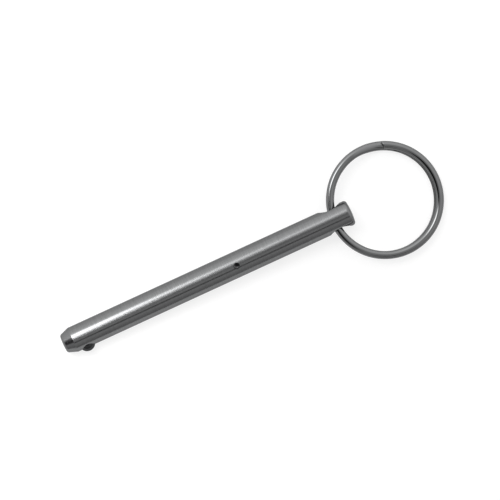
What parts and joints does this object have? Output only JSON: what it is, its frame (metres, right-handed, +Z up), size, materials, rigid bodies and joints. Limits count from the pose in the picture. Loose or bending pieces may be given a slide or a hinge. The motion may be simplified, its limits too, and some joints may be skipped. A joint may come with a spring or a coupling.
{
  "type": "quick release pin",
  "caption": "Plain steel detent pin with a sprung ball near its chamfered tip and a two-turn split ring swinging in a cross hole at its other end.",
  "frame": {"origin": "on the shank's axis at the seat, where the usable round grip ends, 68.6 mm from the tip and 2.9 mm before the middle of the cross hole", "axes": "+X along the pin from the tip towards the ring, +Z up as the pin lies on a floor, and the detent ball stands out towards -Y"},
  "size_m": [0.0988, 0.0284, 0.0064],
  "materials": {
    "shank_steel": "fine ground, satin",
    "ball_steel": "polished bearing ball",
    "spring_steel": "drawn wire",
    "ring_steel": "drawn half-round wire, bright"
  },
  "bodies": {
    "pin": {"shank": "shank_steel", "ball_spring": "spring_steel"},
    "ball": {"detent_ball": "ball_steel"},
    "ring": {"split_ring": "ring_steel"}
  },
  "joints": [
    {"name": "ball_slide", "type": "slide", "parent": "pin", "child": "ball", "axis": [0, 1, 0], "range_m": [0, 0.00097], "stiffness_N_per_m": 1500, "springref_m": -0.0008, "deforming": ["ball_spring"]},
    {"name": "ring_swing", "type": "hinge", "parent": "pin", "child": "ring", "pos_m": [0.0029, 0, 0], "axis": [0, 1, 0], "range_deg": [-174.5, 165]}
  ]
}
